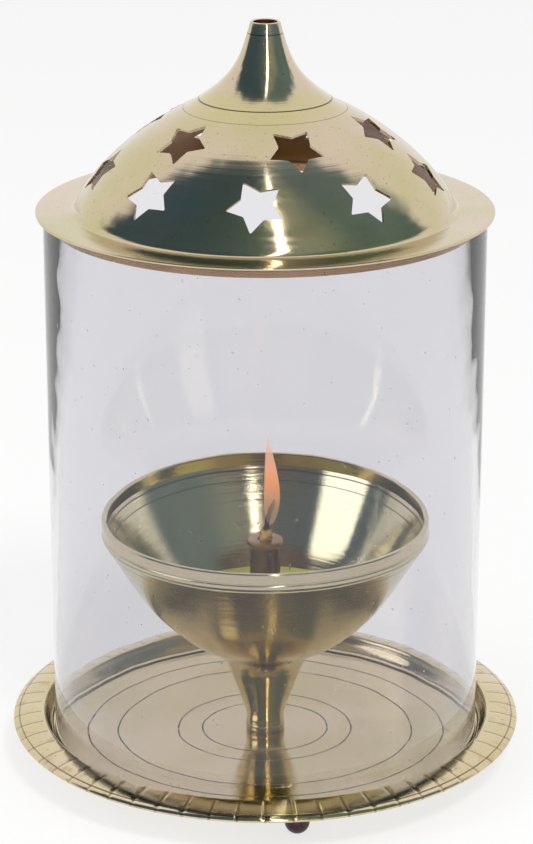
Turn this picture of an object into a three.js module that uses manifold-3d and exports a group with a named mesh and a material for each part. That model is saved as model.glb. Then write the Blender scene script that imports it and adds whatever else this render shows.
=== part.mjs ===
// A table oil lamp: a footed brass dish, a turned oil bowl with a wick burner,
// a glass chimney that stands in the dish, and a spun brass lid with star holes and an open spire.
// Millimetres, +Z up. The feet stand on z = 0, every turned piece shares the Z axis, the front is -Y.
import * as THREE from "three";
import { mergeVertices } from "three/addons/utils/BufferGeometryUtils.js";
import Module from "manifold-3d";

// Clearances
const FIT_GAP = 0.3; // round a piece that fits in another
const GLASS_PLAY = 0.8; // glass to the wall of the dish
const COLLAR_PLAY = 0.5; // lid collar to the inside of the glass

// Glass chimney
const GLASS_RADIUS = 60;
const GLASS_WALL = 2.5;
const GLASS_HEIGHT = 150;

// Dish and its feet
const DISH_SHEET = 1;
const WELL_SLOPE = 2.9; // how far the wall of the dish leans out
const WELL_DEPTH = 4.8;
const RIM_WIDTH = 8.1;
const RIM_DROOP = 1.7;
const FOOT_COUNT = 3;
const FOOT_RADIUS = 3.4;
const FOOT_HEIGHT = 6.2;
const FOOT_FLAT = 1.8; // radius of the flat that the foot stands on
const FOOT_INSET = 2.8; // foot centre to the wall of the dish
const FOOT_TURN = 8.5; // degrees that the front foot stands to the right

// Stud, nut and washers that hold the bowl on the dish
const STUD_RADIUS = 2;
const STUD_IN_STEM = 9;
const STUD_PAST_NUT = 0.8;
const NUT_FLATS = 7;
const NUT_HEIGHT = 3.2;
const BASE_WASHER_RADIUS = 5.5;
const BASE_WASHER_THICK = 1;
const STEM_WASHER_RADIUS = 5.5;
const STEM_WASHER_THICK = 2.3;

// Bowl and stem, one turned casting. Its heights count from the foot of the stem.
const STEM_FOOT_RADIUS = 5.35;
const STEM_WAIST_RADIUS = 5.7;
const STEM_WAIST_HEIGHT = 3.9;
const THROAT_RADIUS = 10.4;
const THROAT_HEIGHT = 16.7;
const BELLY_RADIUS = 22.7;
const BELLY_HEIGHT = 26.4;
const SIDE_RADIUS = 35.6;
const SIDE_HEIGHT = 39.7;
const BOWL_RADIUS = 45.9;
const BOWL_HEIGHT = 60.2;
const BAND_HEIGHT = 4.3;
const BOWL_WALL = 1.5;
const BOWL_FLOOR = 22.6; // inside floor
const SOCKET_DEPTH = 4; // recess in the floor for the burner
const OIL_DEPTH = 11;

// Burner and wick
const BURNER_RADIUS = 4.25;
const BURNER_BORE = 2.4;
const BURNER_HEIGHT = 32;
const OIL_SLOT_WIDTH = 1.6;
const OIL_SLOT_HEIGHT = 8;
const CAP_RADIUS = 5.2;
const CAP_CONE = 1;
const CAP_EDGE = 0.9;
const CAP_TOP = 0.4;
const WICK_RADIUS = 1.8;
const WICK_CLEAR = 3; // lower end above the socket, beside the oil slots
const WICK_MOUND = 3; // unburnt cotton above the cap
const WICK_BURNT_RADIUS = 0.72;
const WICK_BURNT = 8.1; // burnt tip above the cotton
const WICK_LEAN = 2.6;

// Lid
const LID_SHEET = 0.8;
const LID_OVERHANG = 2;
const FLANGE_WIDTH = 9.2;
const DOME_FOOT_IN = 1.9; // flange to the foot of the dome, through the fillet
const DOME_FOOT_RISE = 2;
const NECK_RADIUS = 20.8;
const NECK_HEIGHT = 27.9;
const SPIRE_RADIUS = 4.05;
const SPIRE_HEIGHT = 50.5;
const COLLAR_SHEET = 0.8;
const COLLAR_DEPTH = 2.9;
const COLLAR_SEAM = 0.7;
const COLLAR_SEAM_TURN = -42;

// Star holes
const STAR_RADIUS = 8;
const STAR_INNER = 4.5;
const STAR_POINTS = 5;
const LOWER_STARS = { count: 9, radius: 43.9, phase: -3, turn: -27, step: -18.5 };
const UPPER_STARS = { count: 6, radius: 30.3, phase: 15, turn: 36, step: 25 };

// How round the pieces are
const TURNED_SIDES = 48;
const SMALL_SIDES = 24;
const CURVE_STEPS = 6;

// Levels that follow from the sizes
const dishUnder = FOOT_HEIGHT;
const dishFloor = dishUnder + DISH_SHEET;
const stemFoot = dishFloor + STEM_WASHER_THICK;
const bowlFloor = stemFoot + BOWL_FLOOR;
const socketFloor = bowlFloor - SOCKET_DEPTH;
const burnerTop = socketFloor + BURNER_HEIGHT;
const capHeight = CAP_CONE + CAP_EDGE + CAP_TOP;
const glassTop = dishFloor + GLASS_HEIGHT;
const flangeTop = glassTop + LID_SHEET;
const wellRadius = GLASS_RADIUS + GLASS_PLAY;
const flangeRadius = GLASS_RADIUS + LID_OVERHANG;

const wasm = await Module();
wasm.setup();

const point = (r, z) => new THREE.Vector2(r, z);
const radians = THREE.MathUtils.degToRad;

const polished = (color, roughness) => new THREE.MeshStandardMaterial({ color, roughness, metalness: 1 });
const spunBrass = () => polished(0xd6c394, 0.12);
const castBrass = () => polished(0xcfb873, 0.16);
const plainBrass = () => polished(0xb79a58, 0.3);
const darkFoot = () => new THREE.MeshStandardMaterial({ color: 0x3a2630, roughness: 0.45, metalness: 0.2 });
const clearGlass = () =>
  new THREE.MeshStandardMaterial({
    color: 0xd9d7e2,
    roughness: 0.05,
    metalness: 0,
    transparent: true,
    opacity: 0.3,
  });
const oilMaterial = () => new THREE.MeshStandardMaterial({ color: 0xa99a2a, roughness: 0.08, metalness: 0 });
const cotton = () => new THREE.MeshStandardMaterial({ color: 0x5c3b20, roughness: 0.9, metalness: 0 });

// Turns a profile of radius and height about the Z axis. The profile runs anticlockwise.
function turned(profile, sides = TURNED_SIDES) {
  const closed = profile[0].x > 0 ? [...profile, profile[0].clone()] : profile;
  return new THREE.LatheGeometry(closed, sides).rotateX(Math.PI / 2);
}

function ring(inner, outer, low, high, sides = SMALL_SIDES) {
  return turned([point(inner, low), point(outer, low), point(outer, high), point(inner, high)], sides);
}

function solid(geometry) {
  const bare = geometry.clone();
  bare.deleteAttribute("normal");
  bare.deleteAttribute("uv");
  const merged = mergeVertices(bare, 1e-4);
  const triVerts = new Uint32Array(merged.index.array);
  return new wasm.Manifold(
    new wasm.Mesh({ numProp: 3, vertProperties: merged.attributes.position.array, triVerts }),
  );
}

function cut(geometry, cutters) {
  const body = cutters.reduce((left, cutter) => left.subtract(solid(cutter)), solid(geometry));
  const mesh = body.getMesh();
  const made = new THREE.BufferGeometry();
  made.setAttribute("position", new THREE.BufferAttribute(mesh.vertProperties, 3));
  made.setIndex(new THREE.BufferAttribute(mesh.triVerts, 1));
  made.computeVertexNormals();
  return made;
}

// Direction of travel at each point of a line of points.
function tangents(line) {
  return line.map((_, i) => {
    const before = line[Math.max(i - 1, 0)];
    const after = line[Math.min(i + 1, line.length - 1)];
    return after.clone().sub(before).normalize();
  });
}

// The same line moved to its left by a distance.
function offset(line, distance) {
  const along = tangents(line);
  return line.map((p, i) => point(p.x - along[i].y * distance, p.y + along[i].x * distance));
}

function basePlate() {
  const crest = wellRadius + WELL_SLOPE;
  const edge = crest + RIM_WIDTH;
  const hole = STUD_RADIUS + FIT_GAP;
  const edgeTop = WELL_DEPTH - RIM_DROOP;
  const wall = new THREE.QuadraticBezierCurve(
    point(wellRadius + WELL_SLOPE / 2, WELL_DEPTH / 2),
    point(crest - WELL_SLOPE / 4, WELL_DEPTH),
    point(crest + WELL_SLOPE / 3, WELL_DEPTH),
  ).getPoints(3);
  const top = [point(wellRadius, 0), ...wall, point(edge, edgeTop)];
  const under = top.map((p) => point(p.x + (p.x < crest ? DISH_SHEET / 3 : 0), p.y - DISH_SHEET));
  under[under.length - 1].x = edge;
  const profile = [point(hole, -DISH_SHEET), ...under, ...top.reverse(), point(hole, 0)];
  return turned(profile);
}

function foot() {
  const neck = FOOT_HEIGHT - FOOT_RADIUS;
  const dome = new THREE.QuadraticBezierCurve(
    point(FOOT_FLAT, 0),
    point(FOOT_RADIUS, 0),
    point(FOOT_RADIUS, neck),
  ).getPoints(4);
  return turned([point(0, 0), ...dome, point(FOOT_RADIUS, FOOT_HEIGHT), point(0, FOOT_HEIGHT)], SMALL_SIDES);
}

function stemWasher() {
  const inner = STUD_RADIUS + FIT_GAP;
  const flat = STEM_WASHER_RADIUS - STEM_WASHER_THICK / 4;
  const bulge = new THREE.QuadraticBezierCurve(
    point(flat, 0),
    point(STEM_WASHER_RADIUS + STEM_WASHER_THICK / 4, STEM_WASHER_THICK / 2),
    point(flat, STEM_WASHER_THICK),
  ).getPoints(4);
  return turned([point(inner, 0), ...bulge, point(inner, STEM_WASHER_THICK)], SMALL_SIDES);
}

function hexNut() {
  const outline = new THREE.Shape();
  const corner = NUT_FLATS / 2 / Math.cos(Math.PI / 6);
  for (let i = 0; i < 6; i++) {
    const angle = (i * Math.PI) / 3;
    const place = [corner * Math.cos(angle), corner * Math.sin(angle)];
    i ? outline.lineTo(...place) : outline.moveTo(...place);
  }
  outline.closePath();
  const bore = new THREE.Path().absarc(0, 0, STUD_RADIUS + FIT_GAP, 0, 2 * Math.PI, true);
  outline.holes.push(bore);
  return new THREE.ExtrudeGeometry(outline, {
    depth: NUT_HEIGHT,
    bevelEnabled: false,
    curveSegments: SMALL_SIDES / 2,
  });
}

// Outside of the bowl from the throat up to the foot of the rim band.
function bowlSide() {
  const bandFoot = BOWL_HEIGHT - BAND_HEIGHT;
  const throatLip = point(THROAT_RADIUS + 3.1, THROAT_HEIGHT + 4.1);
  const shoulder = point((BELLY_RADIUS + SIDE_RADIUS) / 2 + 1, (BELLY_HEIGHT + SIDE_HEIGHT) / 2 + 0.1);
  return new THREE.SplineCurve([
    point(THROAT_RADIUS, THROAT_HEIGHT),
    throatLip,
    point(BELLY_RADIUS, BELLY_HEIGHT),
    shoulder,
    point(SIDE_RADIUS, SIDE_HEIGHT),
    point(BOWL_RADIUS, bandFoot),
  ]).getPoints(2 * CURVE_STEPS - 2);
}

// Inside of the bowl between two heights, a given distance from its outside.
function bowlInside(distance, low, high) {
  const line = offset(bowlSide(), distance);
  const between = line.filter((p) => p.y > low && p.y < high);
  const radiusAt = (height) => {
    const above = line.findIndex((p) => p.y >= height);
    const [a, b] = [line[above - 1], line[above]];
    return a.x + ((b.x - a.x) * (height - a.y)) / (b.y - a.y);
  };
  return [point(radiusAt(low), low), ...between, point(radiusAt(high), high)];
}

function oilBowl() {
  const hole = STUD_RADIUS + FIT_GAP;
  const socket = BURNER_RADIUS + FIT_GAP;
  const stem = new THREE.SplineCurve([
    point(STEM_FOOT_RADIUS, 0),
    point(STEM_WAIST_RADIUS, STEM_WAIST_HEIGHT),
    point(THROAT_RADIUS, THROAT_HEIGHT),
  ]).getPoints(CURVE_STEPS - 2);
  const bandFoot = BOWL_HEIGHT - BAND_HEIGHT;
  const inside = bowlInside(BOWL_WALL, BOWL_FLOOR, bandFoot);
  return turned([
    point(0, STUD_IN_STEM + FIT_GAP),
    point(hole, STUD_IN_STEM + FIT_GAP),
    point(hole, 0),
    ...stem,
    ...bowlSide().slice(1),
    point(BOWL_RADIUS, BOWL_HEIGHT),
    point(BOWL_RADIUS - BOWL_WALL, BOWL_HEIGHT),
    ...inside.reverse(),
    point(socket, BOWL_FLOOR),
    point(socket, BOWL_FLOOR - SOCKET_DEPTH),
    point(0, BOWL_FLOOR - SOCKET_DEPTH),
  ]);
}

function lampOil() {
  const inside = bowlInside(BOWL_WALL + FIT_GAP, BOWL_FLOOR, BOWL_FLOOR + OIL_DEPTH);
  const hole = BURNER_RADIUS + FIT_GAP;
  return turned([point(hole, BOWL_FLOOR), ...inside, point(hole, BOWL_FLOOR + OIL_DEPTH)]);
}

function burnerTube() {
  const across = 3 * BURNER_RADIUS;
  const slots = [0, Math.PI / 2].map((angle) =>
    new THREE.BoxGeometry(across, OIL_SLOT_WIDTH, 2 * OIL_SLOT_HEIGHT).rotateZ(angle + Math.PI / 4),
  );
  return cut(ring(BURNER_BORE, BURNER_RADIUS, 0, BURNER_HEIGHT), slots);
}

function burnerCap() {
  const hole = WICK_RADIUS + FIT_GAP;
  return turned(
    [
      point(hole, 0),
      point(BURNER_RADIUS, 0),
      point(CAP_RADIUS, CAP_CONE),
      point(CAP_RADIUS, CAP_CONE + CAP_EDGE),
      point(CAP_RADIUS - CAP_TOP, capHeight),
      point(hole, capHeight),
    ],
    SMALL_SIDES,
  );
}

// Straight in the burner, then a soft mound, then a thin burnt tip that leans to the right.
function wick() {
  const end = SOCKET_DEPTH + WICK_CLEAR;
  const capTop = BURNER_HEIGHT + capHeight;
  const moundTop = capTop + WICK_MOUND;
  const tip = moundTop + WICK_BURNT;
  const geometry = turned(
    [
      point(0, end),
      point(WICK_RADIUS, end),
      point(WICK_RADIUS, capTop + WICK_MOUND / 3),
      point((WICK_RADIUS + WICK_BURNT_RADIUS) / 2, capTop + (2 * WICK_MOUND) / 3),
      point(WICK_BURNT_RADIUS, moundTop),
      point(WICK_BURNT_RADIUS, moundTop + WICK_BURNT / 3),
      point(WICK_BURNT_RADIUS, moundTop + (2 * WICK_BURNT) / 3),
      point(WICK_BURNT_RADIUS, tip - WICK_BURNT_RADIUS / 2),
      point(WICK_BURNT_RADIUS / 2, tip),
      point(0, tip),
    ],
    SMALL_SIDES / 2,
  );
  const position = geometry.attributes.position;
  for (let i = 0; i < position.count; i++) {
    const rise = Math.max(0, position.getZ(i) - capTop) / (tip - capTop);
    position.setX(i, position.getX(i) + WICK_LEAN * rise ** 1.5);
  }
  return geometry;
}

// Outside of the lid, from the edge of its flange up to the mouth of the spire.
function lidOutside() {
  const flangeIn = flangeRadius - FLANGE_WIDTH;
  const domeFoot = point(flangeIn - DOME_FOOT_IN, DOME_FOOT_RISE);
  const neck = point(NECK_RADIUS, NECK_HEIGHT);
  const fillet = new THREE.QuadraticBezierCurve(
    point(flangeIn, 0),
    point(flangeIn - DOME_FOOT_IN / 2, 0),
    domeFoot,
  ).getPoints(2);
  const dome = new THREE.CubicBezierCurve(
    domeFoot,
    point(domeFoot.x - 5.3, NECK_HEIGHT * 0.45),
    point(NECK_RADIUS + 8.6, NECK_HEIGHT - 3.4),
    neck,
  ).getPoints(CURVE_STEPS);
  const spire = new THREE.CubicBezierCurve(
    neck,
    point(SPIRE_RADIUS + 4.9, NECK_HEIGHT + 7.5),
    point(SPIRE_RADIUS + 2.8, SPIRE_HEIGHT - 11.3),
    point(SPIRE_RADIUS, SPIRE_HEIGHT),
  ).getPoints(CURVE_STEPS);
  return [point(flangeRadius, 0), ...fillet, ...dome.slice(1), ...spire.slice(1)];
}

function starHole(row, index, outside) {
  const outline = new THREE.Shape();
  for (let i = 0; i < 2 * STAR_POINTS; i++) {
    const reach = i % 2 ? STAR_INNER : STAR_RADIUS;
    const angle = Math.PI / 2 - (i * Math.PI) / STAR_POINTS;
    const place = [reach * Math.cos(angle), reach * Math.sin(angle)];
    i ? outline.lineTo(...place) : outline.moveTo(...place);
  }
  outline.closePath();
  const depth = STAR_RADIUS;
  const geometry = new THREE.ExtrudeGeometry(outline, { depth, bevelEnabled: false });
  geometry.translate(0, 0, -depth / 2).rotateZ(-radians(row.turn + row.step * index));

  const after = outside.findIndex((p) => p.x <= row.radius);
  const [below, above] = [outside[after - 1], outside[after]];
  const share = (below.x - row.radius) / (below.x - above.x);
  const centre = below.clone().lerp(above, share);
  const slope = above.clone().sub(below).normalize();
  const azimuth = radians(row.phase + (index * 360) / row.count);
  const [sin, cos] = [Math.sin(azimuth), Math.cos(azimuth)];
  const right = new THREE.Vector3(cos, sin, 0);
  const up = new THREE.Vector3(slope.x * sin, -slope.x * cos, slope.y);
  const out = right.clone().cross(up);
  const frame = new THREE.Matrix4().makeBasis(right, up, out);
  frame.setPosition(centre.x * sin, -centre.x * cos, centre.y);
  return geometry.applyMatrix4(frame);
}

function lidDome() {
  const outside = lidOutside();
  const inside = offset(outside, LID_SHEET);
  inside[0] = point(flangeRadius, -LID_SHEET);
  inside[1].y = -LID_SHEET;
  inside[inside.length - 1] = point(SPIRE_RADIUS - LID_SHEET, SPIRE_HEIGHT);
  const shell = turned([...outside, ...inside.reverse()]);
  const holes = [LOWER_STARS, UPPER_STARS].flatMap((row) =>
    Array.from({ length: row.count }, (_, i) => starHole(row, i, outside)),
  );
  return cut(shell, holes);
}

// A strip bent to a ring, with its ends nearly meeting at the seam.
function lidCollar() {
  const outer = GLASS_RADIUS - GLASS_WALL - COLLAR_PLAY;
  const inner = outer - COLLAR_SHEET;
  const seam = radians(COLLAR_SEAM_TURN - 90);
  const half = COLLAR_SEAM / 2 / outer;
  const outline = new THREE.Shape();
  outline.absarc(0, 0, outer, seam + half, seam + 2 * Math.PI - half, false);
  outline.absarc(0, 0, inner, seam + 2 * Math.PI - half, seam + half, true);
  outline.closePath();
  return new THREE.ExtrudeGeometry(outline, {
    depth: COLLAR_DEPTH,
    bevelEnabled: false,
    curveSegments: TURNED_SIDES,
  });
}

const lamp = new THREE.Group();

function place(parent, name, geometry, material, height, x = 0, y = 0) {
  const mesh = new THREE.Mesh(geometry, material);
  mesh.name = name;
  mesh.position.set(x, y, height);
  parent.add(mesh);
  return mesh;
}

const stand = new THREE.Group();
place(stand, "base_plate", basePlate(), spunBrass(), dishFloor);
for (let i = 0; i < FOOT_COUNT; i++) {
  const azimuth = radians(FOOT_TURN + (i * 360) / FOOT_COUNT);
  const reach = wellRadius - FOOT_INSET;
  place(stand, `foot_${i + 1}`, foot(), darkFoot(), 0, reach * Math.sin(azimuth), -reach * Math.cos(azimuth));
}
place(stand, "stem_washer", stemWasher(), castBrass(), dishFloor);
const boltBore = STUD_RADIUS + FIT_GAP;
const washerUnder = dishUnder - BASE_WASHER_THICK;
const nutUnder = washerUnder - NUT_HEIGHT;
const studUnder = nutUnder - STUD_PAST_NUT;
const studLength = stemFoot + STUD_IN_STEM - studUnder;
const stud = [point(0, 0), point(STUD_RADIUS, 0), point(STUD_RADIUS, studLength), point(0, studLength)];
place(stand, "base_stud", turned(stud, SMALL_SIDES), plainBrass(), studUnder);
const washer = ring(boltBore, BASE_WASHER_RADIUS, 0, BASE_WASHER_THICK);
place(stand, "base_washer", washer, plainBrass(), washerUnder);
place(stand, "base_nut", hexNut(), plainBrass(), nutUnder);
place(stand, "oil_bowl", oilBowl(), castBrass(), stemFoot);
place(stand, "lamp_oil", lampOil(), oilMaterial(), stemFoot);
lamp.add(stand);

const burner = new THREE.Group();
place(burner, "burner_tube", burnerTube(), castBrass(), socketFloor);
place(burner, "burner_cap", burnerCap(), castBrass(), burnerTop);
place(burner, "wick", wick(), cotton(), socketFloor);
lamp.add(burner);

const glassInner = GLASS_RADIUS - GLASS_WALL;
const glass = ring(glassInner, GLASS_RADIUS, 0, GLASS_HEIGHT, TURNED_SIDES);
place(lamp, "glass_chimney", glass, clearGlass(), dishFloor);

const lid = new THREE.Group();
place(lid, "lid_dome", lidDome(), spunBrass(), flangeTop);
place(lid, "lid_collar", lidCollar(), plainBrass(), glassTop - COLLAR_DEPTH);
lamp.add(lid);

export default lamp;
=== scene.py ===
import math

import bpy
import numpy as np
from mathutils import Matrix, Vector, noise


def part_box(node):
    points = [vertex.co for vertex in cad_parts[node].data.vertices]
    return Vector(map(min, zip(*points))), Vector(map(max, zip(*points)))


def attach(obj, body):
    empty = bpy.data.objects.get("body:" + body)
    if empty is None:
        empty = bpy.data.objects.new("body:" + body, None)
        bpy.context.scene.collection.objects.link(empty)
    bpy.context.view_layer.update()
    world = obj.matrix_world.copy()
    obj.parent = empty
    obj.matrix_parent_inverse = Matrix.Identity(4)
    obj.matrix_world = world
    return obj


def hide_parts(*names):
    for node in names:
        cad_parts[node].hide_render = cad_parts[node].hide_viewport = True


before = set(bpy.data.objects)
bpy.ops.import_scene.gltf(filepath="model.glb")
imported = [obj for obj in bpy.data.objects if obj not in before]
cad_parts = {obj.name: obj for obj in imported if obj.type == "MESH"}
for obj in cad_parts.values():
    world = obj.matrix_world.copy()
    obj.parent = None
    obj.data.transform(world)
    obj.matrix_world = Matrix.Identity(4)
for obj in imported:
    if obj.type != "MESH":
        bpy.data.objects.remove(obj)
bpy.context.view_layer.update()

MM = 0.001
FULL_TURN = 2 * math.pi

# Sizes in millimetres. Heights of a piece count from the underside of the solid it stands for.
DISH_SHEET = 1.0
WELL_RADIUS = 60.8
CREST_RADIUS = 63.7
WELL_DEPTH = 4.8
EDGE_DROP = 1.7
CHASED_LINES = 60
FLOOR_RINGS = (17.5, 24.3, 41.1, 49.5)
STUD_HOLE = 2.3
STUD_HOLE_DEPTH = 9.3

STEM_FOOT = 5.35
STEM_WAIST = (5.7, 3.9)
THROAT = (10.4, 16.7)
BOWL_SIDE = (THROAT, (13.5, 20.8), (22.7, 26.4), (30.2, 33.1), (35.6, 39.7), (45.9, 55.9))
BOWL_WALL = 1.5
BOWL_FLOOR = 22.6
SOCKET_DEPTH = 4.0

BURNER_RADIUS = 4.25
BURNER_BORE = 2.4
FIT_GAP = 0.3
WICK_THREAD = 0.72
FLAME_HEIGHT = 27
FLAME_ABOVE_CAP = 3.5

GLASS_WALL = 2.5
LID_SHEET = 0.8
FLANGE_IN = 52.8
DOME_FOOT = (50.9, 2.0)
NECK = (20.8, 27.9)
SPIRE_RADIUS = 4.05
SPIRE_HEIGHT = 50.5
COLLAR_SHEET = 0.8
COLLAR_SEAM = -42
STAR_RADIUS = 8.0
STAR_INNER = 4.5
STAR_POINTS = 5
STAR_ROWS = (
    {"count": 9, "radius": 43.9, "phase": -3, "turn": -27, "step": -18.5},
    {"count": 6, "radius": 30.3, "phase": 15, "turn": 36, "step": 25},
)


def low(node):
    """Height of a solid's underside, in millimetres."""
    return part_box(node)[0].z / MM


def high(node):
    """Height of a solid's top, in millimetres."""
    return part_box(node)[1].z / MM


def reach(node):
    """How far a solid reaches to the right of the lamp's axis, in millimetres."""
    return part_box(node)[1].x / MM


# Places that the finishes share with the meshes
dish_floor = low("base_plate") + DISH_SHEET
dish_edge = reach("base_plate")
flange_top = low("lid_dome") + LID_SHEET
bowl_rim = high("oil_bowl")
oil_top = high("lamp_oil")
cap_low = low("burner_cap")
cap_high = high("burner_cap")
wick_lean = reach("wick") - WICK_THREAD
flame_foot = cap_high + FLAME_ABOVE_CAP
flame_tip = flame_foot + FLAME_HEIGHT


# Lines in the plane of radius and height


def bezier(a, b, c, d, steps):
    out = []
    for i in range(steps + 1):
        t = i / steps
        weights = ((1 - t) ** 3, 3 * t * (1 - t) ** 2, 3 * t * t * (1 - t), t**3)
        out.append(tuple(sum(w * p[k] for w, p in zip(weights, (a, b, c, d))) for k in (0, 1)))
    return out


def spline(points, steps):
    """A smooth line through the points, the same kind of curve that the solids use."""
    pts = np.array([points[0], *points, points[-1]], float)
    out = []
    for i in range(len(points) - 1):
        p0, p1, p2, p3 = pts[i : i + 4]
        for t in np.linspace(0, 1, steps, endpoint=False):
            a = 2 * p1 + (p2 - p0) * t
            b = (2 * p0 - 5 * p1 + 4 * p2 - p3) * t**2
            c = (3 * p1 - p0 - 3 * p2 + p3) * t**3
            out.append(tuple((a + b + c) / 2))
    return [*out, tuple(map(float, points[-1]))]


def leftward(points):
    """Unit vectors to the left of a line, one at each of its points."""
    along = np.gradient(points, axis=0)
    along /= np.linalg.norm(along, axis=1)[:, None]
    return np.stack([-along[:, 1], along[:, 0]], 1)


def offset(line, distance):
    """The line moved to its left."""
    points = np.array(line, float)
    return [tuple(p) for p in points + leftward(points) * distance]


def eased(corners, steps=4):
    """A closed outline whose corners are (radius, height, size of the rounding)."""
    out = []
    for i, (r, z, size) in enumerate(corners):
        here = np.array((r, z), float)
        if size == 0:
            out.append((r, z))
            continue
        before = np.array(corners[i - 1][:2], float)
        after = np.array(corners[(i + 1) % len(corners)][:2], float)
        start = here + (before - here) / np.linalg.norm(before - here) * size
        end = here + (after - here) / np.linalg.norm(after - here) * size
        for t in np.linspace(0, 1, steps + 1):
            out.append(tuple((1 - t) ** 2 * start + 2 * t * (1 - t) * here + t * t * end))
    return out


def groove(line, where, width, depth):
    """Cuts a small round-bottomed groove into a line, at a share of its length."""
    points = np.array(line, float)
    run = np.r_[0, np.cumsum(np.linalg.norm(np.diff(points, axis=0), axis=1))]
    middle = where * run[-1]
    stations = np.unique(np.r_[run, middle + np.linspace(-width, width, 9)])
    fine = np.stack([np.interp(stations, run, points[:, k]) for k in (0, 1)], 1)
    dip = depth * np.clip(1 - ((stations - middle) / width) ** 2, 0, 1)
    return [tuple(p) for p in fine + leftward(fine) * dip[:, None]]


# Meshes


def mesh_object(name, verts, faces):
    """An object from points in millimetres."""
    mesh = bpy.data.meshes.new(name)
    mesh.from_pydata([Vector(v) * MM for v in verts], [], faces)
    made = bpy.data.objects.new(name, mesh)
    bpy.context.scene.collection.objects.link(made)
    return made


def piece(name, verts, faces, body, nodes=(), sharp=35):
    """A piece that rides on a body. Edges steeper than sharp, in degrees, stay crisp."""
    made = mesh_object(name, verts, faces)
    made.data.shade_smooth()
    made.data.set_sharp_from_angle(angle=math.radians(sharp))
    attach(made, body)
    if nodes:
        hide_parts(*nodes)
    return made


def turned(profile, sides, centre=(0, 0), shift=None):
    """Points and faces of an outline turned about an upright axis. shift may move each point."""
    verts, rings = [], []
    for r, z in profile:
        on_axis = r < 1e-6
        if on_axis:
            rings.append([len(verts)])
            verts.append((centre[0], centre[1], z))
            continue
        start = len(verts)
        for i in range(sides):
            a = FULL_TURN * i / sides
            rr, zz = shift(r, a, z) if shift else (r, z)
            verts.append((centre[0] + rr * math.sin(a), centre[1] - rr * math.cos(a), zz))
        rings.append(list(range(start, start + sides)))
    pairs = list(zip(rings, rings[1:]))
    if len(rings[0]) > 1:
        pairs.append((rings[-1], rings[0]))
    faces = []
    for a, b in pairs:
        for i in range(sides):
            j = (i + 1) % sides
            corners = [a[i % len(a)], a[j % len(a)], b[j % len(b)], b[i % len(b)]]
            kept = [c for n, c in enumerate(corners) if c not in corners[:n]]
            if len(kept) > 2:
                faces.append(kept)
    return verts, faces


# Shader maths


class Link:
    """A value that comes out of a node. Python's operators add Math nodes."""

    def __init__(self, maker, socket):
        self.maker = maker
        self.socket = socket

    def maths(self, operation, *values):
        inputs = dict(enumerate(values))
        return self.maker.node("Math", {"operation": operation}, inputs)

    def __add__(self, other):
        return self.maths("ADD", self, other)

    __radd__ = __add__

    def __sub__(self, other):
        return self.maths("SUBTRACT", self, other)

    def __rsub__(self, other):
        return self.maths("SUBTRACT", other, self)

    def __mul__(self, other):
        return self.maths("MULTIPLY", self, other)

    __rmul__ = __mul__

    def __truediv__(self, other):
        return self.maths("DIVIDE", self, other)

    def __abs__(self):
        return self.maths("ABSOLUTE", self)

    def power(self, other):
        return self.maths("POWER", self, other)

    def greater(self, other):
        return self.maths("MAXIMUM", self, other)

    def ramp(self, start, end, first=0.0, last=1.0):
        """Smooth step from first at start to last at end."""
        settings = {"interpolation_type": "SMOOTHSTEP", "clamp": True}
        return self.maker.node("MapRange", settings, {0: self, 1: start, 2: end, 3: first, 4: last})

    def line(self, middle, half, soft):
        """1 on a line of that half width, fading out over soft."""
        return abs(self - middle).ramp(half, half + soft, 1.0, 0.0)


class Nodes:
    """A node tree, with short ways to add to it."""

    def __init__(self, tree, output="OutputMaterial"):
        self.tree = tree
        self.tree.nodes.clear()
        self.output = self.tree.nodes.new("ShaderNode" + output)

    def join(self, value, socket):
        if isinstance(value, Link):
            self.tree.links.new(value.socket, socket)
        elif isinstance(value, (tuple, list)) and len(value) == 3 and socket.type == "RGBA":
            socket.default_value = (*value, 1)
        else:
            socket.default_value = value

    def node(self, kind, settings, inputs, output=0):
        made = self.tree.nodes.new("ShaderNode" + kind)
        for key, value in settings.items():
            setattr(made, key, value)
        for key, value in inputs.items():
            self.join(value, made.inputs[key])
        return Link(self, made.outputs[output])

    def finish_with(self, surface):
        self.join(surface, self.output.inputs[0])

    def mix(self, share, first, second):
        return self.node("Mix", {"data_type": "RGBA"}, {0: share, 6: first, 7: second}, 2)

    def vector(self, x, y, z):
        return self.node("CombineXYZ", {}, {0: x, 1: y, 2: z})

    def bump(self, height, distance):
        """Bump from a height in millimetres."""
        return self.node("Bump", {}, {"Height": height, "Distance": distance * MM, "Strength": 1.0})


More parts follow.
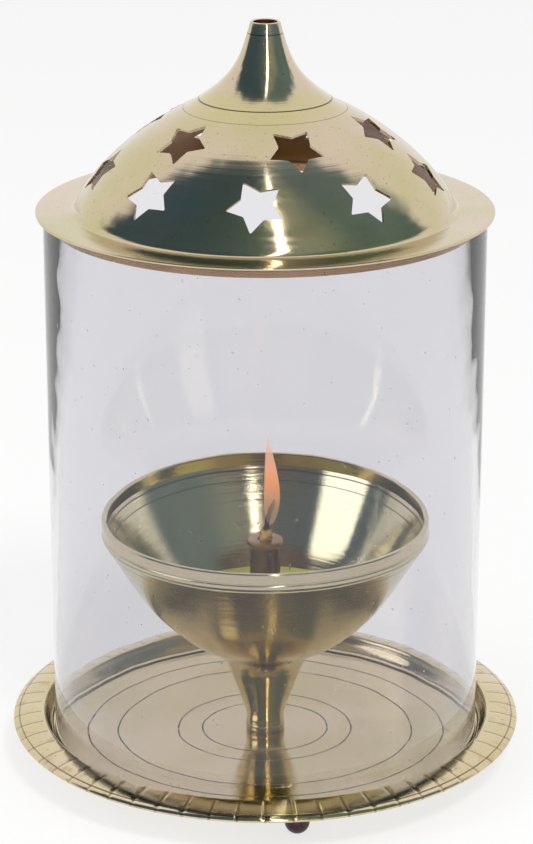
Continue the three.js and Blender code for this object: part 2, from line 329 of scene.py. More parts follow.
class Finish(Nodes):
    """One material. Its coordinates are millimetres in the lamp's own frame."""

    def __init__(self, name):
        self.material = bpy.data.materials.new(name)
        self.material.use_nodes = True
        super().__init__(self.material.node_tree)
        self.shader = self.tree.nodes.new("ShaderNodeBsdfPrincipled")
        self.tree.links.new(self.shader.outputs[0], self.output.inputs[0])
        coordinates = self.node("TexCoord", {}, {}, "Object")
        self.place = self.node("VectorMath", {"operation": "SCALE"}, {0: coordinates, "Scale": 1 / MM})
        parts = self.tree.nodes.new("ShaderNodeSeparateXYZ")
        self.join(self.place, parts.inputs[0])
        self.x, self.y, self.z = (Link(self, parts.outputs[i]) for i in range(3))
        self.radius = (self.x * self.x + self.y * self.y).power(0.5)
        self.angle = self.x.maths("ARCTAN2", self.x, self.y * -1)

    def noise(self, scale, detail=3.0, vector=None):
        """Noise over the surface. scale is how many features fit in a millimetre."""
        return self.node("TexNoise", {}, {"Vector": vector or self.place, "Scale": scale, "Detail": detail})

    def noise_along(self, value, scale, detail=3.0):
        settings = {"noise_dimensions": "1D"}
        return self.node("TexNoise", settings, {"W": value, "Scale": scale, "Detail": detail})

    def set(self, **values):
        """Sets the shader's sockets. An underscore stands for a space in a socket's name."""
        for key, value in values.items():
            self.join(value, self.shader.inputs[key.replace("_", " ")])


def dress(obj, finish):
    obj.data.materials.clear()
    obj.data.materials.append(finish.material)


PINK_BRASS = (0.64, 0.52, 0.39)
OLIVE_BRASS = (0.56, 0.49, 0.27)
GOLD_BRASS = (0.60, 0.45, 0.19)
TARNISH = (0.10, 0.065, 0.04)
TURNING_BUMP = 0.035


def polished_brass(name, pale, deep, roughness, turning, wear):
    """Brass turned on a lathe: fine lines round the axis, faint clouding and scattered specks.

    turning is the number of tool lines in a millimetre, and wear the share of the specks that shows.
    """
    f = Finish(name)
    across = f.z * 0.83 + f.radius
    lines = f.noise_along(across, turning, 6.0)
    coarse = f.noise_along(across, turning * 0.16, 2.0)
    cloud = f.noise(0.035, 4.0)
    specks = f.noise(1.1, 2.0).ramp(0.66, 0.72)
    clean = f.mix(cloud.ramp(0.35, 0.7), pale, deep)
    f.colour = f.mix(specks * wear, clean, TARNISH)
    line_haze = lines.ramp(0.35, 0.75) * 0.06
    cloud_haze = cloud.ramp(0.5, 0.8) * 0.04
    f.rough = roughness + line_haze + specks * 0.15 * wear + cloud_haze
    f.height = lines * 0.6 + coarse
    normal = f.bump(f.height, TURNING_BUMP)
    f.set(Base_Color=f.colour, Roughness=f.rough, Metallic=1.0, Normal=normal)
    return f


def lid_brass():
    """Two turned lines round the neck, one under the spire's lip, and a painted yellow reflection at the
    neck.
    """
    f = polished_brass("lid_brass", PINK_BRASS, OLIVE_BRASS, roughness=0.085, turning=2.4, wear=0.35)
    above = f.z - flange_top
    upper_dome = above.ramp(20, 24)
    neck_line = f.radius.line(NECK[0] - 3.0, 0.10, 0.14) * upper_dome
    faint_line = f.radius.line(NECK[0] + 1.2, 0.05, 0.10) * upper_dome * 0.7
    lip_line = above.line(SPIRE_HEIGHT - 3.0, 0.06, 0.14)
    dark = neck_line.greater(faint_line).greater(lip_line * 0.8)
    # Painted reflection: a yellow tint round the neck stands in for the brass and green surroundings that
    # the neck mirrors.
    neck_reflection_yellow = (0.60, 0.53, 0.26)
    neck_reflection_zone = f.radius.ramp(24, 19) * f.radius.ramp(11, 16)
    with_neck_reflection = f.mix(neck_reflection_zone * 0.55, f.colour, neck_reflection_yellow)
    f.set(Base_Color=f.mix(dark, with_neck_reflection, TARNISH))
    return f


def lid_inside_brass():
    """The underside, browned by lamp smoke."""
    smoked = (0.30, 0.17, 0.10)
    sooty = (0.16, 0.09, 0.055)
    return polished_brass("lid_smoked_brass", smoked, sooty, roughness=0.32, turning=1.6, wear=0.8)


def floor_rings(f):
    """Engraved rings on the dish floor, wavy and worn thin in places."""
    wobble = f.noise(0.05, 2.0) * 1.6 - 0.8
    breaks = f.noise(0.3, 2.0).ramp(0.30, 0.55)
    rings = (f.radius + wobble).line(FLOOR_RINGS[0], 0.10, 0.16)
    for radius in FLOOR_RINGS[1:]:
        rings = rings.greater((f.radius + wobble).line(radius, 0.10, 0.16))
    return rings * (breaks * 0.5 + 0.5) * f.radius.ramp(58, 56)


def rim_lines(f):
    """Chased lines across the dish's rim."""
    pitch = FULL_TURN / CHASED_LINES
    turn = f.angle * (1 / pitch) + 0.5
    away = abs(turn.maths("FRACT", turn) - 0.5) * pitch * f.radius
    return away.ramp(0.22, 0.5, 1.0, 0.0) * f.radius.ramp(CREST_RADIUS, CREST_RADIUS + 0.8)


def dish_brass():
    """Engraved rings, chased rim lines, a line near the edge, and brown stains where the glass stands."""
    pale = (0.70, 0.58, 0.40)
    deep = (0.62, 0.52, 0.30)
    stain_brown = (0.34, 0.22, 0.12)
    line_brown = (0.24, 0.16, 0.08)
    f = polished_brass("dish_brass", pale, deep, roughness=0.075, turning=1.8, wear=0.5)
    rings = floor_rings(f)
    chased = rim_lines(f)
    edge_line = f.radius.line(dish_edge - 1.6, 0.08, 0.16)
    stain = f.noise(0.18, 5.0).ramp(0.56, 0.74) * f.radius.ramp(56, 61)
    colour = f.mix(stain * 0.45, f.colour, stain_brown)
    colour = f.mix(rings.greater(edge_line * 0.7), colour, TARNISH)
    colour = f.mix(chased * 0.55, colour, line_brown)
    height = f.height - (rings * 4 + edge_line * 3)
    f.set(Base_Color=colour, Normal=f.bump(height, TURNING_BUMP), Roughness=f.rough + rings * 0.2)
    return f


def bowl_brass():
    """Gold outside, greyer inside above the oil, pinker on the band, with two dark turned lines."""
    pale_gold = (0.68, 0.58, 0.32)
    grey_brass = (0.66, 0.64, 0.48)
    f = polished_brass("bowl_brass", pale_gold, GOLD_BRASS, roughness=0.08, turning=2.6, wear=0.4)
    band = f.z.ramp(bowl_rim - 4.6, bowl_rim - 4.2)
    band_line = f.z.line(bowl_rim - 4.5, 0.09, 0.12)
    lower_line = f.z.line(bowl_rim - 7.0, 0.06, 0.10) * 0.8
    above_oil = f.z.ramp(oil_top - 1, oil_top + 6)
    colour = f.mix(above_oil * 0.6, f.colour, grey_brass)
    colour = f.mix(band * 0.4, colour, PINK_BRASS)
    f.set(Base_Color=f.mix(band_line.greater(lower_line), colour, TARNISH))
    return f


def small_brass(name, pale, deep, roughness):
    """Brass of the small pieces, with finer tool lines and more wear."""
    return polished_brass(name, pale, deep, roughness, turning=4.0, wear=0.9)


def burner_brass():
    """Brass that the flame has browned, with upright dark marks on the tube."""
    browned = (0.50, 0.34, 0.15)
    deep_brown = (0.26, 0.16, 0.07)
    soot = (0.03, 0.016, 0.01)
    f = polished_brass("burner_brass", browned, deep_brown, roughness=0.2, turning=5.0, wear=1.0)
    marks = f.noise_along(f.angle, 1.9, 1.0).ramp(0.42, 0.62)
    within_tube = f.radius.ramp(BURNER_RADIUS + 0.1, BURNER_RADIUS - 0.1)
    below_cap = f.z.ramp(cap_low + 0.2, cap_low - 0.3)
    f.set(Base_Color=f.mix(within_tube * below_cap * marks * 0.85, f.colour, soot))
    return f


def clear_glass():
    """Clear tube glass with a faint lilac tint, fine scratches and a few specks."""
    f = Finish("chimney_glass")
    lilac = (0.83, 0.825, 0.85)
    speck_grey = (0.45, 0.45, 0.5)
    upright = f.vector(f.angle * 38, f.z * 0.22, 0.0)
    scratches = f.noise(0.9, 3.0, upright).ramp(0.70, 0.78)
    specks = f.noise(0.55, 1.0).ramp(0.77, 0.80)
    ripple = f.noise(0.03, 2.0)
    f.set(Base_Color=f.mix(specks * 0.5, lilac, speck_grey), Roughness=scratches * 0.10 + specks * 0.35)
    f.set(IOR=1.45, Transmission_Weight=1.0, Normal=f.bump(ripple, 0.25))
    return f


def oil():
    """Yellow lamp oil, amber where it is deep."""
    f = Finish("lamp_oil")
    yellow = (0.62, 0.60, 0.07)
    amber = (0.42, 0.30, 0.03)
    cloud_amber = (0.50, 0.28, 0.04)
    colour = f.mix(f.radius.ramp(27, 12), yellow, amber)
    cloud = f.noise(0.12, 3.0).ramp(0.4, 0.7)
    swell = f.bump(f.noise(0.08, 1.0), 0.15)
    f.set(Base_Color=f.mix(cloud * 0.3, colour, cloud_amber), Roughness=0.04, IOR=1.46)
    f.set(Coat_Weight=0.6, Coat_Roughness=0.02, Normal=swell)
    return f


def cotton():
    """Oiled cotton, black where it has burnt."""
    f = Finish("wick_cotton")
    waxy_brown = (0.42, 0.22, 0.05)
    waxy_gold = (0.60, 0.38, 0.11)
    char = (0.006, 0.005, 0.005)
    burnt = (f.z + f.noise(0.9, 2.0) * 1.2).ramp(cap_high + 2.6, cap_high + 3.6)
    twist = f.vector(f.angle * 1.3 + f.z * 0.9, f.z * 0.25, 0.0)
    strands = f.noise(1.6, 3.0, twist)
    waxy = f.mix(strands.ramp(0.35, 0.65), waxy_brown, waxy_gold)
    f.set(Base_Color=f.mix(burnt, waxy, char), Roughness=0.45 + burnt * 0.4)
    f.set(Normal=f.bump(strands, 0.25))
    return f


def dark_foot():
    f = Finish("dark_foot")
    # Painted shade and painted reflection: dark plum stands in for brass feet that lie in shade and mirror
    # the dark underside of the dish.
    shade_plum = (0.035, 0.018, 0.028)
    shade_plum_pale = (0.075, 0.035, 0.05)
    cloud = f.noise(0.8, 4.0)
    colour = f.mix(cloud.ramp(0.35, 0.65), shade_plum, shade_plum_pale)
    f.set(Base_Color=colour, Roughness=0.3 + cloud * 0.15, Metallic=0.3, Normal=f.bump(cloud, 0.03))
    return f


def flame_light():
    """Peach at its foot, orange above, and thinning to pink at its tip."""
    f = Finish("flame_light")
    peach = (1.0, 0.62, 0.34)
    orange = (1.0, 0.40, 0.16)
    pink = (1.0, 0.62, 0.50)
    black = (0.0, 0.0, 0.0)
    share = (f.z - flame_foot) / (flame_tip - flame_foot)
    lower = f.mix(share.ramp(0.0, 0.45), peach, orange)
    colour = f.mix(share.ramp(0.45, 1.0), lower, pink)
    density = share.ramp(0.1, 0.6, 0.14, 0.8) * share.ramp(0.55, 1.0, 1.0, 0.25)
    f.set(Base_Color=black, Roughness=1.0, Specular_IOR_Level=0.0)
    f.set(Emission_Color=colour, Emission_Strength=1.0, Alpha=density)
    return f


# Pieces


def dish_piece():
    """Spun dish: flat floor, upright well, rounded crest and a drooping rim with chased dents."""
    wall_start = (WELL_RADIUS + 1.3, 2.2)
    wall_end = (CREST_RADIUS, WELL_DEPTH)
    wall = bezier(wall_start, (WELL_RADIUS + 2.0, 4.0), (CREST_RADIUS - 1.2, WELL_DEPTH), wall_end, 8)
    foot_start = (WELL_RADIUS - 0.4, 0)
    foot = bezier(foot_start, (WELL_RADIUS + 0.2, 0), (WELL_RADIUS + 0.6, 0.5), wall_start, 4)
    rim_width = dish_edge - CREST_RADIUS
    droop = []
    for t in (0.12, 0.3, 0.5, 0.7, 0.9):
        droop.append((CREST_RADIUS + rim_width * t, WELL_DEPTH - EDGE_DROP * t * t))
    edge_height = WELL_DEPTH - EDGE_DROP
    edge_top = (dish_edge - 0.35, edge_height + 0.02)
    floor = [(STUD_HOLE, 0.0), (8.0, 0.0), (30.0, 0.0)]
    top = [*floor, *foot, *wall[1:], *droop, edge_top]
    under = [(r, z - DISH_SHEET) for r, z in top[:-1]]
    edge_under = (dish_edge - 0.2, edge_height - DISH_SHEET + 0.1)
    edge = [(dish_edge, edge_height - 0.65), (dish_edge, edge_height - 0.3)]
    profile = [*under, edge_under, *edge, *reversed(top)]

    def chisel(r, a, z):
        """Dents of the chased lines, on the top of the rim only."""
        if r < CREST_RADIUS + 0.4 or z < dish_floor + edge_height - 0.2:
            return r, z
        line = round(a / FULL_TURN * CHASED_LINES)
        away = abs(a - line * FULL_TURN / CHASED_LINES) * r
        fade_at_edge = min(1.0, (dish_edge - r) / 2 + 0.3)
        return r, z - 0.22 * max(0.0, 1 - away / 0.7) * fade_at_edge

    verts, faces = turned([(r, z + dish_floor) for r, z in profile], 720, shift=chisel)
    made = piece("dish", verts, faces, "stand", ["base_plate"])
    dress(made, dish_brass())


def foot_pieces():
    """Three domes, each with a small flat that rests on the table. Their dark plum colour is painted shade
    and painted reflection on brass feet.
    """
    finish = dark_foot()
    flat_edge = 0.56
    for i in (1, 2, 3):
        node = f"foot_{i}"
        lower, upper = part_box(node)
        centre = ((lower.x + upper.x) / 2 / MM, (lower.y + upper.y) / 2 / MM)
        r = (upper.x - lower.x) / 2 / MM
        top = upper.z / MM
        flat = r - r * math.cos(flat_edge)
        arc = np.linspace(flat_edge, math.pi / 2, 12)
        dome = [(r * math.sin(t), r - r * math.cos(t) - flat) for t in arc]
        verts, faces = turned([(0, 0), *dome, (r, top), (0, top)], 40, centre)
        dress(piece(f"foot_dome_{i}", verts, faces, "stand", [node]), finish)


def stem_bead_piece():
    foot, top, r = low("stem_washer"), high("stem_washer"), reach("stem_washer")
    bulge = bezier((r - 0.5, foot), (r + 0.15, foot + 0.3), (r + 0.15, top - 0.3), (r - 0.5, top), 12)
    verts, faces = turned([(STUD_HOLE, foot), *bulge, (STUD_HOLE, top)], 96)
    made = piece("stem_bead", verts, faces, "stand", ["stem_washer"])
    bead_pale = (0.56, 0.44, 0.22)
    bead_deep = (0.42, 0.30, 0.13)
    dress(made, small_brass("bead_brass", bead_pale, bead_deep, 0.12))


def bowl_piece():
    """Bowl and stem, with two grooves under the band and a socket for the burner."""
    foot = low("oil_bowl")
    height = bowl_rim - foot
    r = reach("oil_bowl")
    stem = spline(((STEM_FOOT, 0.35), STEM_WAIST, THROAT), 10)
    side = spline(BOWL_SIDE, 10)
    band = [(r, height - 4.0), (r, height - 0.3)]
    outside = groove([*stem[:-1], *side, *band], where=0.962, width=0.35, depth=0.22)
    outside = groove(outside, where=0.93, width=0.28, depth=0.15)
    inner = [p for p in offset(side, BOWL_WALL) if p[1] > BOWL_FLOOR + 0.5 and p[0] > 10]
    lip = [(r - 0.3, height), (r - BOWL_WALL + 0.3, height), (r - BOWL_WALL, height - 0.3)]
    socket_radius = BURNER_RADIUS + FIT_GAP
    socket_floor = BOWL_FLOOR - SOCKET_DEPTH
    floor = [(inner[0][0] - 1.2, BOWL_FLOOR), (socket_radius, BOWL_FLOOR)]
    socket = [(socket_radius, socket_floor), (0, socket_floor)]
    hole = [(0, STUD_HOLE_DEPTH), (STUD_HOLE, STUD_HOLE_DEPTH), (STUD_HOLE, 0), (STEM_FOOT - 0.35, 0)]
    profile = [*hole, *outside, *lip, *reversed(inner), *floor, *socket]
    verts, faces = turned([(x, z + foot) for x, z in profile], 288)
    made = piece("bowl_and_stem", verts, faces, "stand", ["oil_bowl"])
    dress(made, bowl_brass())


def oil_piece():
    """Oil with a surface that climbs a little at the bowl and at the burner."""
    foot = low("oil_bowl")
    base = low("lamp_oil")
    side = [(r, z + foot) for r, z in offset(spline(BOWL_SIDE, 10), BOWL_WALL + 0.06)]
    wet = [(r, z) for r, z in side if foot + BOWL_FLOOR + 0.6 < z < oil_top - 0.4]
    rim = float(np.interp(oil_top, [z for _, z in side], [r for r, _ in side]))
    hole = BURNER_RADIUS + 0.08
    surface = [
        (rim, oil_top),
        (rim - 0.8, oil_top - 0.22),
        (rim - 2.2, oil_top - 0.3),
        (hole + 1.2, oil_top - 0.3),
        (hole + 0.4, oil_top - 0.2),
        (hole, oil_top),
    ]
    verts, faces = turned([(hole, base), (wet[0][0] - 1.5, base), *wet, *surface], 144)
    made = piece("oil_in_bowl", verts, faces, "stand", ["lamp_oil"], sharp=60)
    dress(made, oil())


def burner_pieces():
    """The tube, with shallow upright flutes, and the small round cap on it."""
    foot, top = low("burner_tube"), high("burner_tube")
    tube = [
        (BURNER_BORE, foot, 0.1),
        (BURNER_RADIUS, foot, 0.2),
        (BURNER_RADIUS, top, 0.1),
        (BURNER_BORE, top, 0.1),
    ]

    def fluted(r, a, z):
        outside = r > 3
        return (r - 0.16 * abs(math.sin(6 * a)) ** 6 if outside else r), z

    finish = burner_brass()
    verts, faces = turned(eased(tube, 3), 144, shift=fluted)
    dress(piece("wick_tube", verts, faces, "burner", ["burner_tube"]), finish)
    r = reach("burner_cap")
    hole = 2.1
    cap = [
        (hole, cap_low, 0.1),
        (BURNER_RADIUS, cap_low, 0),
        (r, cap_low + 1.0, 0.2),
        (r, cap_high - 0.4, 0.2),
        (r - 0.5, cap_high - 0.1, 0.2),
        (hole, cap_high, 0.2),
    ]
    verts, faces = turned(eased(cap), 96)
    dress(piece("wick_cap", verts, faces, "burner", ["burner_cap"]), finish)


def wick_piece():
    """Cotton in the tube, a soft mound above the cap, and a thin burnt end that leans to the right."""
    foot, tip = low("wick"), high("wick")
    packed_radius = 1.75
    mound_radius = 1.78
    mound_height = 3.4
    stations = [(0, foot), (1.7, foot + 0.1), (packed_radius, cap_high - 4), (packed_radius, cap_high)]
    for z in np.linspace(cap_high + 0.2, tip - 0.2, 46):
        dome = max(0.0, 1 - ((z - cap_high) / mound_height) ** 2.2)
        thread = WICK_THREAD * min(1.0, ((tip - z) / 1.6) ** 0.6)
        stations.append((max(mound_radius * dome**0.5, thread), z))
    stations.append((0, tip))

    def strands(r, a, z):
        """Two twisted strands and a rough skin."""
        above = max(0.0, z - cap_high)
        rough = noise.noise(Vector((math.cos(a) * 1.4, math.sin(a) * 1.4, z * 0.9)))
        twist = 0.12 if above > 2.5 else 0.07
        return r * (1 + twist * math.cos(2 * a - z * 1.9) + 0.16 * rough * min(1.0, above)), z

    verts, faces = turned(stations, 28, shift=strands)
    leaning = []
    for x, y, z in verts:
        share = max(0.0, z - cap_high) / (tip - cap_high)
        bend = wick_lean * share**1.5 + 0.25 * math.sin(share * 9) * share
        leaning.append((x + bend * 0.96, y, z))
    made = piece("cotton_wick", leaning, faces, "wick", ["wick"], sharp=80)
    dress(made, cotton())


def flame_piece():
    """A slim flame, which is light and not a solid piece."""
    widest = 2.4
    outline = [(0, flame_foot)]
    for s in np.linspace(0, 1, 30)[1:-1]:
        r = widest * math.sin(math.pi * s**0.62) ** 0.9 * (1 - 0.25 * s)
        outline.append((r, flame_foot + s * (flame_tip - flame_foot)))
    outline.append((0, flame_tip))
    verts, faces = turned(outline, 40)
    swaying = []
    for x, y, z in verts:
        share = (z - flame_foot) / (flame_tip - flame_foot)
        swaying.append((x + wick_lean * 0.55 + 0.5 * math.sin(share * 5), y, z))
    made = piece("flame", swaying, faces, "wick", sharp=80)
    made.visible_shadow = False
    dress(made, flame_light())


def glass_piece():
    """A plain tube with fire-rounded ends."""
    foot, top, r = low("glass_chimney"), high("glass_chimney"), reach("glass_chimney")
    inner = r - GLASS_WALL
    rounding = 0.5
    corners = [(inner, foot, rounding), (r, foot, rounding), (r, top, rounding), (inner, top, rounding)]
    verts, faces = turned(eased(corners, 5), 256)
    made = piece("glass_tube", verts, faces, "chimney", ["glass_chimney"])
    made.visible_shadow = False
    dress(made, clear_glass())


def lid_outside():
    """Outside of the lid from its edge to the mouth of the spire, heights from the top of the flange."""
    edge = reach("lid_dome")
    mouth = (SPIRE_RADIUS, SPIRE_HEIGHT - 0.15)
    fillet = bezier((FLANGE_IN, 0), (FLANGE_IN - 0.7, 0), (DOME_FOOT[0] + 0.2, 0.8), DOME_FOOT, 6)
    shoulder = (DOME_FOOT[0] - 5.3, NECK[1] * 0.45)
    crown = (NECK[0] + 8.6, NECK[1] - 3.4)
    dome = bezier(DOME_FOOT, shoulder, crown, NECK, 30)
    spire_flare = (SPIRE_RADIUS + 4.9, NECK[1] + 7.5)
    spire_taper = (SPIRE_RADIUS + 2.8, SPIRE_HEIGHT - 11.3)
    spire = bezier(NECK, spire_flare, spire_taper, mouth, 26)
    flange = [(edge, -0.2), (edge - 0.25, 0.0), (edge - 3, 0.0), (FLANGE_IN + 3, 0.0)]
    return [*flange, *fillet, *dome[1:], *spire[1:]]


def star_corner(i):
    """Corner i of a star. Even corners are its tips."""
    away = STAR_INNER if i % 2 else STAR_RADIUS
    a = math.pi * i / STAR_POINTS
    return np.array((away * math.sin(a), away * math.cos(a)))


def star_outline():
    """A five-pointed star whose tips are a little blunt."""
    blunt = 0.09
    blunt_tip = 0.965
    flat = []
    for i in range(2 * STAR_POINTS):
        corner = star_corner(i)
        if i % 2:
            flat.append(corner)
            continue
        before, after = star_corner(i - 1), star_corner(i + 1)
        flat.append(corner + (before - corner) * blunt)
        flat.append(corner * blunt_tip)
        flat.append(corner + (after - corner) * blunt)
    return flat


def star_punch(row, index, outside):
    """A star-shaped punch, set square to the lid's surface."""
    spin = math.radians(row["turn"] + row["step"] * index)
    c, s = math.cos(spin), math.sin(spin)
    flat = [(x * c + y * s, y * c - x * s) for x, y in star_outline()]
    points = np.array(outside)
    dome = points[points[:, 1] > 2]
    after = int(np.argmax(dome[:, 0] <= row["radius"]))
    below, above = dome[after - 1], dome[after]
    share = (below[0] - row["radius"]) / (below[0] - above[0])
    centre = below + (above - below) * share
    slope = (above - below) / np.linalg.norm(above - below)
    azimuth = math.radians(row["phase"] + index * 360 / row["count"])
    sin, cos = math.sin(azimuth), math.cos(azimuth)
    right = Vector((cos, sin, 0))
    up = Vector((slope[0] * sin, -slope[0] * cos, slope[1]))
    out = right.cross(up)
    middle = Vector((centre[0] * sin, -centre[0] * cos, centre[1] + flange_top))
    half = STAR_RADIUS / 2
    verts = [middle + right * x + up * y + out * side for side in (-half, half) for x, y in flat]
    n = len(flat)
    around = [(i, n + i, n + (i + 1) % n, (i + 1) % n) for i in range(n)]
    return verts, [tuple(range(n)), tuple(reversed(range(n, 2 * n))), *around]


def star_punches(outside):
    verts, faces = [], []
    for row in STAR_ROWS:
        for i in range(row["count"]):
            more, sides = star_punch(row, i, outside)
            faces += [tuple(len(verts) + k for k in f) for f in sides]
            verts += more
    return mesh_object("star_punches", verts, faces)


def cut_away(made, cutter):
    """Cuts one object out of another, and deletes the cutter."""
    boolean = made.modifiers.new("cut", "BOOLEAN")
    boolean.object = cutter
    boolean.operation = "DIFFERENCE"
    boolean.solver = "EXACT"
    cut = bpy.data.meshes.new_from_object(made.evaluated_get(bpy.context.evaluated_depsgraph_get()))
    made.modifiers.clear()
    made.data = cut
    cut.name = made.name
    bpy.data.objects.remove(cutter)


def lid_piece():
    """One spun sheet from the flange to the mouth of the spire, with star holes."""
    outside = lid_outside()
    inside = offset(outside[3:], LID_SHEET)
    mouth_bore = SPIRE_RADIUS - LID_SHEET
    inside[-1] = (mouth_bore, SPIRE_HEIGHT - 0.15)
    mouth = [(SPIRE_RADIUS - 0.2, SPIRE_HEIGHT), (mouth_bore + 0.2, SPIRE_HEIGHT)]
    edge = reach("lid_dome")
    under = [(edge - 0.25, -LID_SHEET), (edge, -LID_SHEET + 0.2)]
    profile = [*outside, *mouth, *reversed(inside), *under]
    verts, faces = turned([(r, z + flange_top) for r, z in profile], 288)
    made = piece("star_lid", verts, faces, "lid", ["lid_dome"])
    cut_away(made, star_punches(outside))
    dress(made, lid_brass())
    made.data.materials.append(lid_inside_brass().material)
    shade_from_profile(made, outside)


def exact_normals(mesh, outside):
    """Outward normal of the turned surface at each point of the mesh."""
    line = np.array(outside, float)
    station = np.arange(len(line))
    fine = np.linspace(0, len(line) - 1, len(line) * 8)
    rightward = -leftward(line)
    points = np.stack([np.interp(fine, station, line[:, k]) for k in (0, 1)], 1)
    normals = np.stack([np.interp(fine, station, rightward[:, k]) for k in (0, 1)], 1)
    places = np.array([v.co for v in mesh.vertices], float) / MM
    radius = np.hypot(places[:, 0], places[:, 1])
    height = places[:, 2] - flange_top
    nearest = [np.argmin((points[:, 0] - r) ** 2 + (points[:, 1] - z) ** 2) for r, z in zip(radius, height)]
    flat = normals[nearest]
    exact = np.stack([places[:, 0] / radius * flat[:, 0], places[:, 1] / radius * flat[:, 0], flat[:, 1]], 1)
    return exact / np.linalg.norm(exact, axis=1)[:, None]


def shade_from_profile(obj, outside):
    """Gives the lid its turned surface's normals, so that the star cuts leave no marks in the gloss.

    Faces on the inside take the second material.
    """
    mesh = obj.data
    exact = exact_normals(mesh, outside)
    along_surface = 0.9
    loops = []
    for face in mesh.polygons:
        own = np.array(face.normal)
        for v in face.vertices:
            facing = float(own @ exact[v])
            if abs(facing) > along_surface:
                loops.append(tuple(exact[v] * math.copysign(1, facing)))
            else:
                loops.append(tuple(own))
        on_flange = math.hypot(face.center.x, face.center.y) / MM > FLANGE_IN
        outward = own[2] if on_flange else own @ exact[face.vertices[0]]
        face.material_index = 1 if outward < -0.5 else 0
    mesh.shade_smooth()
    mesh.normals_split_custom_set(loops)


def collar_piece():
    """A strip bent round under the lid, with a narrow gap where its ends meet."""
    foot, top = low("lid_collar"), high("lid_collar")
    outer = reach("lid_collar")
    inner = outer - COLLAR_SHEET
    seam = math.radians(COLLAR_SEAM)
    half_gap = 0.35 / outer
    turns = np.linspace(seam + half_gap, seam + FULL_TURN - half_gap, 220)
    section = [(inner, foot), (outer, foot), (outer, top), (inner, top)]
    verts = [(r * math.sin(a), -r * math.cos(a), z) for a in turns for r, z in section]
    faces = [(3, 2, 1, 0), tuple(len(verts) - 4 + k for k in range(4))]
    for i in range(len(turns) - 1):
        for k in range(4):
            m = (k + 1) % 4
            faces.append((4 * i + k, 4 * i + m, 4 * i + 4 + m, 4 * i + 4 + k))
    made = piece("lid_strip", verts, faces, "lid", ["lid_collar"])
    copper_brown = (0.44, 0.26, 0.13)
    deep_brown = (0.30, 0.16, 0.08)
    dress(made, small_brass("strip_brass", copper_brown, deep_brown, 0.25))


def hidden_hardware():
    """The nut, washer and stud keep their solids and get a dull brass."""
    dull = (0.50, 0.36, 0.16)
    deep = (0.36, 0.25, 0.11)
    finish = small_brass("hardware_brass", dull, deep, 0.3)
    for node in ("base_nut", "base_washer", "base_stud"):
        dress(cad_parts[node], finish)


# Studio

WHITE = (1.0, 1.0, 1.0)


def bright_ray(f):
    """1 for the rays that should meet the plain white surroundings."""
    path = f.tree.nodes.new("ShaderNodeLightPath")
    camera, glossy, through = (
        Link(f, path.outputs[name]) for name in ("Is Camera Ray", "Is Glossy Ray", "Is Transmission Ray")
    )
    return camera.greater(glossy).greater(through)


def studio_world():
    """White to the camera, and a little dimmer as a light."""
    world = bpy.data.worlds.new("studio")
    bpy.context.scene.world = world
    world.use_nodes = True
    f = Nodes(world.node_tree, "OutputWorld")
    strength = bright_ray(f) * 0.35 + 0.65
    f.finish_with(f.node("Background", {}, {"Color": WHITE, "Strength": strength}))


def studio_floor():
    """A white floor that keeps a faint shadow of the lamp."""
    size = 5000
    verts = [(-size, -size, 0), (size, -size, 0), (size, size, 0), (-size, size, 0)]
    floor = mesh_object("floor", verts, [(0, 1, 2, 3)])
    material = bpy.data.materials.new("floor_white")
    material.use_nodes = True
    f = Nodes(material.node_tree)
    lit = f.node("BsdfDiffuse", {}, {"Color": (0.9, 0.9, 0.9)})
    glow = f.node("Emission", {}, {"Color": WHITE, "Strength": 1.0})
    f.finish_with(f.node("MixShader", {}, {0: bright_ray(f) * 0.72, 1: lit, 2: glow}))
    floor.data.materials.append(material)


SKY_RADIUS = 1600
SKY_HALF_ANGLE = 128
SKY_LOWEST = 6


def sky_card():
    """Part of a dome over the front of the set, which only polished metal and glass see."""
    azimuths = np.radians(np.linspace(-SKY_HALF_ANGLE, SKY_HALF_ANGLE, 97))
    heights = np.radians(np.linspace(SKY_LOWEST, 90, 43))
    verts = []
    for e in heights:
        across, up = SKY_RADIUS * math.cos(e), SKY_RADIUS * math.sin(e)
        verts += [(across * math.sin(a), -across * math.cos(a), up) for a in azimuths]
    n = len(azimuths)
    corners = [j * n + i for j in range(len(heights) - 1) for i in range(n - 1)]
    card = mesh_object("sky_card", verts, [(k, k + 1, k + n + 1, k + n) for k in corners])
    card.visible_camera = False
    card.visible_diffuse = False
    card.visible_shadow = False
    return card


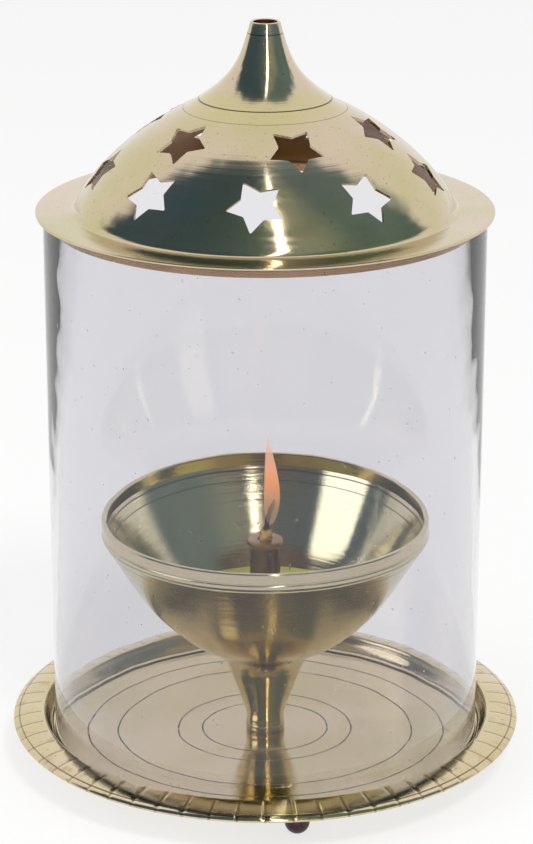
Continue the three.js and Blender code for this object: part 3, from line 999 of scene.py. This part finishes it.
def studio_sky():
    """Dark blue sky in front, with a slim bright strip for the sun's line in the brass."""
    card = sky_card()
    f = Finish("sky_card")
    dusk_blue = (0.06, 0.11, 0.17)
    teal = (0.16, 0.25, 0.27)
    tree_light = (0.42, 0.46, 0.38)
    tree_shade = (0.10, 0.13, 0.12)
    sun = (1.0, 0.98, 0.92)
    degrees = 180 / math.pi
    turn = f.angle * degrees
    rise = f.z.maths("ARCSINE", f.z / SKY_RADIUS) * degrees
    ragged = f.noise(0.004, 6.0) * 26 - 13
    fade = (abs(turn) + ragged).ramp(104, 118, 1.0, 0.0) * (rise + ragged * 0.5).ramp(9, 15)
    colour = f.mix(turn.ramp(-60, 40), dusk_blue, teal)
    colour = f.mix(turn.line(26, 6, 34) * 0.7, colour, tree_light)
    colour = f.mix(f.noise(0.0015, 2.0).ramp(0.35, 0.65) * 0.3, colour, tree_shade)
    strip = turn.line(11, 1.2, 1.6) * rise.ramp(16, 24)
    colour = f.mix(strip, colour, sun)
    lit = f.node("Emission", {}, {"Color": colour, "Strength": 1.0 + strip * 14})
    clear = f.node("BsdfTransparent", {}, {})
    f.finish_with(f.node("MixShader", {}, {0: fade, 1: clear, 2: lit}))
    f.tree.nodes.remove(f.shader)
    card.data.materials.append(f.material)


def studio_lamp(name, place, size, power, colour):
    """A soft round lamp, placed in metres, that points at the lamp's middle."""
    data = bpy.data.lights.new(name, "AREA")
    data.shape = "DISK"
    data.size = size
    data.energy = power
    data.color = colour
    lamp = bpy.data.objects.new(name, data)
    lamp.location = place
    lamp.visible_glossy = False
    lamp.rotation_mode = "QUATERNION"
    lamp.rotation_quaternion = (Vector((0, 0, 0.1)) - Vector(place)).to_track_quat("-Z", "Y")
    bpy.context.scene.collection.objects.link(lamp)


# The camera, fitted to the photograph's ellipses. Distances in millimetres from the lamp's axis
# and the dish floor, and the pitch in degrees.
CAMERA_BACK = 750.3
CAMERA_UP = 344.3
CAMERA_RIGHT = 0.34
CAMERA_PITCH = 18.77
FOCAL_PIXELS = 2861.0
IMAGE_HEIGHT = 844
SENSOR = 36.0


def studio_camera():
    data = bpy.data.cameras.new("camera")
    data.sensor_width = SENSOR
    data.lens = SENSOR * FOCAL_PIXELS / IMAGE_HEIGHT
    data.clip_end = 20
    camera = bpy.data.objects.new("camera", data)
    camera.location = Vector((CAMERA_RIGHT, -CAMERA_BACK, CAMERA_UP + dish_floor)) * MM
    camera.rotation_euler = (math.radians(90 - CAMERA_PITCH), 0, 0)
    bpy.context.scene.collection.objects.link(camera)
    bpy.context.scene.camera = camera


bpy.context.scene.view_settings.view_transform = "Standard"
studio_camera()
dish_piece()
foot_pieces()
stem_bead_piece()
bowl_piece()
oil_piece()
burner_pieces()
wick_piece()
flame_piece()
glass_piece()
lid_piece()
collar_piece()
hidden_hardware()
studio_world()
studio_floor()
studio_sky()
studio_lamp("key", (0.5, -0.9, 1.6), size=0.5, power=14, colour=(1.0, 0.98, 0.94))
studio_lamp("fill", (-1.2, -0.4, 0.8), size=0.9, power=6, colour=(0.95, 0.97, 1.0))
